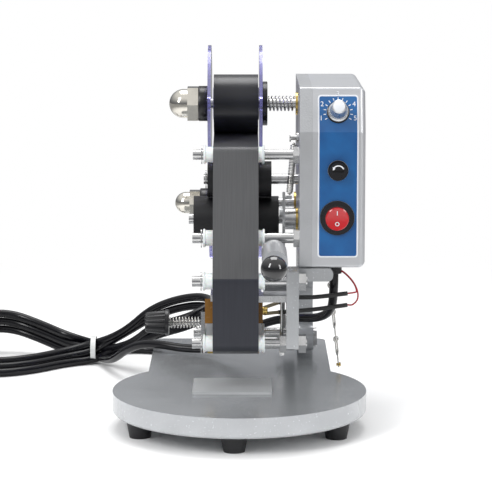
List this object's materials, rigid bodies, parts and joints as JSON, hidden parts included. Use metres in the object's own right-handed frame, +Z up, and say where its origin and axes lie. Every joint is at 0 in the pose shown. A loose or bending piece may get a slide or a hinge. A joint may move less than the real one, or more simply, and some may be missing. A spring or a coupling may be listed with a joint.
{
  "type": "hand-operated hot-stamp ribbon date coder",
  "caption": "Hand-operated hot-stamp date coder: round table, rocking press frame with a heated type head, two ribbon reels, guide rollers and a temperature control box.",
  "frame": {"origin": "middle of the machine's outline on the surface it stands on", "axes": "+Z up, -Y towards the operator, +X towards the control box"},
  "size_m": [0.36, 0.416, 0.2895],
  "materials": {
    "cast_silver": "satin",
    "hammer_silver": "hammered",
    "grey_bar": "satin",
    "black_rubber": "matte",
    "cord_black": "satin",
    "lead_sleeve": "matte",
    "silicone": "translucent",
    "bright_steel": "turned",
    "nickel": "bright",
    "violet_clear": "clear, violet",
    "black_plastic": "gloss",
    "ribbon_black": "film",
    "nylon_white": "satin",
    "roller_rubber": "matte",
    "brass": "machined",
    "heater_metal": "machined",
    "amber_board": "laminate",
    "knob_chrome": "spun",
    "red_gloss": "gloss",
    "board_green": "satin"
  },
  "bodies": {
    "root": {"table_plate": "cast_silver", "rubber_feet": "black_rubber", "silicone_pad": "silicone", "column": "cast_silver", "mechanism_plate": "hammer_silver", "box_cover": "hammer_silver", "control_board": "board_green", "panel_components": "black_plastic", "cord_gland": "black_rubber", "shaft_bushes": "bright_steel", "frame_rods": "bright_steel", "frame_fasteners": "bright_steel", "ribbon_upper_runs": "ribbon_black", "ribbon_front_span": "ribbon_black", "ribbon_back_span": "ribbon_black", "return_spring": "nickel", "heater_leads": "lead_sleeve", "mains_lead": "cord_black", "cord_hank": "cord_black", "cord_loops": "cord_black", "mains_tail": "cord_black", "mains_plug": "cord_black"},
    "supply_reel": {"supply_shaft": "bright_steel", "supply_nut": "nickel", "supply_flanges": "violet_clear", "supply_washers": "black_plastic", "supply_roll": "ribbon_black", "supply_spring": "nickel"},
    "takeup_reel": {"takeup_shaft": "bright_steel", "takeup_nut": "nickel", "takeup_flanges": "violet_clear", "takeup_washers": "black_plastic", "takeup_roll": "ribbon_black"},
    "feed_unit": {"feed_drum": "roller_rubber", "drum_shaft": "bright_steel"},
    "pinch": {"pinch_roller": "roller_rubber"},
    "upper_roller": {"guide_roller_1": "nylon_white"},
    "middle_roller": {"guide_roller_2": "nylon_white"},
    "press": {"press_frame": "cast_silver", "press_rods": "bright_steel", "press_nuts": "bright_steel", "head_bridge": "cast_silver", "lever_bar": "grey_bar", "lever_ball": "black_plastic", "type_holder": "brass", "heater_block": "heater_metal", "head_insulator": "amber_board", "thumb_screw_plate": "heater_metal", "thumb_spring": "nickel", "stop_screw": "bright_steel", "feed_arm": "bright_steel", "ribbon_print_loop": "ribbon_black"},
    "front_press_roller": {"press_roller_1": "nylon_white"},
    "low_press_roller": {"press_roller_2": "nylon_white"},
    "rear_press_roller": {"press_roller_3": "nylon_white"},
    "clamp_screw": {"thumb_screw": "black_plastic"},
    "heat_knob": {"temperature_knob": "knob_chrome"},
    "rocker": {"rocker_button": "red_gloss"},
    "fuse_carrier": {"fuse_cap": "black_plastic"},
    "chain": {"release_chain": "nickel"}
  },
  "joints": [
    {"name": "press_rock", "type": "hinge", "parent": "root", "child": "press", "pos_m": [0.04, 0.074, 0.045], "axis": [1, 0, 0], "range_deg": [0, 11.6], "stiffness_Nm_per_rad": 4, "springref_deg": -34.38, "deforming": ["return_spring", "ribbon_front_span", "ribbon_back_span", "heater_leads"]},
    {"name": "ribbon_feed", "type": "hinge", "parent": "root", "child": "feed_unit", "pos_m": [0, 0.005, 0.154], "axis": [1, 0, 0], "continuous": true},
    {"name": "pinch_turn", "type": "hinge", "parent": "root", "child": "pinch", "pos_m": [0, -0.001, 0.1864], "axis": [1, 0, 0], "continuous": true},
    {"name": "supply_turn", "type": "hinge", "parent": "root", "child": "supply_reel", "pos_m": [0, 0.024, 0.2435], "axis": [1, 0, 0], "continuous": true},
    {"name": "takeup_turn", "type": "hinge", "parent": "root", "child": "takeup_reel", "pos_m": [0, 0.077, 0.157], "axis": [1, 0, 0], "continuous": true},
    {"name": "upper_roller_turn", "type": "hinge", "parent": "root", "child": "upper_roller", "pos_m": [0, -0.021, 0.208], "axis": [1, 0, 0], "continuous": true},
    {"name": "middle_roller_turn", "type": "hinge", "parent": "root", "child": "middle_roller", "pos_m": [0, -0.047, 0.1466], "axis": [1, 0, 0], "continuous": true},
    {"name": "front_press_roller_turn", "type": "hinge", "parent": "press", "child": "front_press_roller", "pos_m": [0, -0.065, 0.116], "axis": [1, 0, 0], "continuous": true},
    {"name": "low_press_roller_turn", "type": "hinge", "parent": "press", "child": "low_press_roller", "pos_m": [0, -0.066, 0.068], "axis": [1, 0, 0], "continuous": true},
    {"name": "rear_press_roller_turn", "type": "hinge", "parent": "press", "child": "rear_press_roller", "pos_m": [0, -0.023, 0.068], "axis": [1, 0, 0], "continuous": true},
    {"name": "clamp_screw_turn", "type": "hinge", "parent": "press", "child": "clamp_screw", "pos_m": [-0.06, -0.04018, 0.07946], "axis": [1, 0, 0], "continuous": true},
    {"name": "heat_knob_turn", "type": "hinge", "parent": "root", "child": "heat_knob", "pos_m": [0.075, -0.05073, 0.2435], "axis": [0, -0.9398, 0.3417], "range_deg": [0, 270]},
    {"name": "rocker_tilt", "type": "hinge", "parent": "root", "child": "rocker", "pos_m": [0.0745, -0.0535, 0.1635], "axis": [1, 0, 0], "range_deg": [-12, 0]},
    {"name": "fuse_cap_turn", "type": "hinge", "parent": "root", "child": "fuse_carrier", "pos_m": [0.075, -0.056, 0.1998], "axis": [0, -1, 0], "range_deg": [0, 60]},
    {"name": "chain_swing", "type": "hinge", "parent": "root", "child": "chain", "pos_m": [0.07, 0.015, 0.1249], "axis": [1, 0, 0], "range_deg": [-6, 20]}
  ],
  "couplings": [
    {"joint": "pinch_turn", "follows": "ribbon_feed", "ratio": -1.2857},
    {"joint": "supply_turn", "follows": "ribbon_feed", "ratio": -0.7826},
    {"joint": "takeup_turn", "follows": "ribbon_feed", "ratio": 1.2},
    {"joint": "upper_roller_turn", "follows": "ribbon_feed", "ratio": -2.9032},
    {"joint": "middle_roller_turn", "follows": "ribbon_feed", "ratio": -2.9032},
    {"joint": "front_press_roller_turn", "follows": "ribbon_feed", "ratio": -2.9032},
    {"joint": "low_press_roller_turn", "follows": "ribbon_feed", "ratio": -2.9032},
    {"joint": "rear_press_roller_turn", "follows": "ribbon_feed", "ratio": -2.9032}
  ]
}
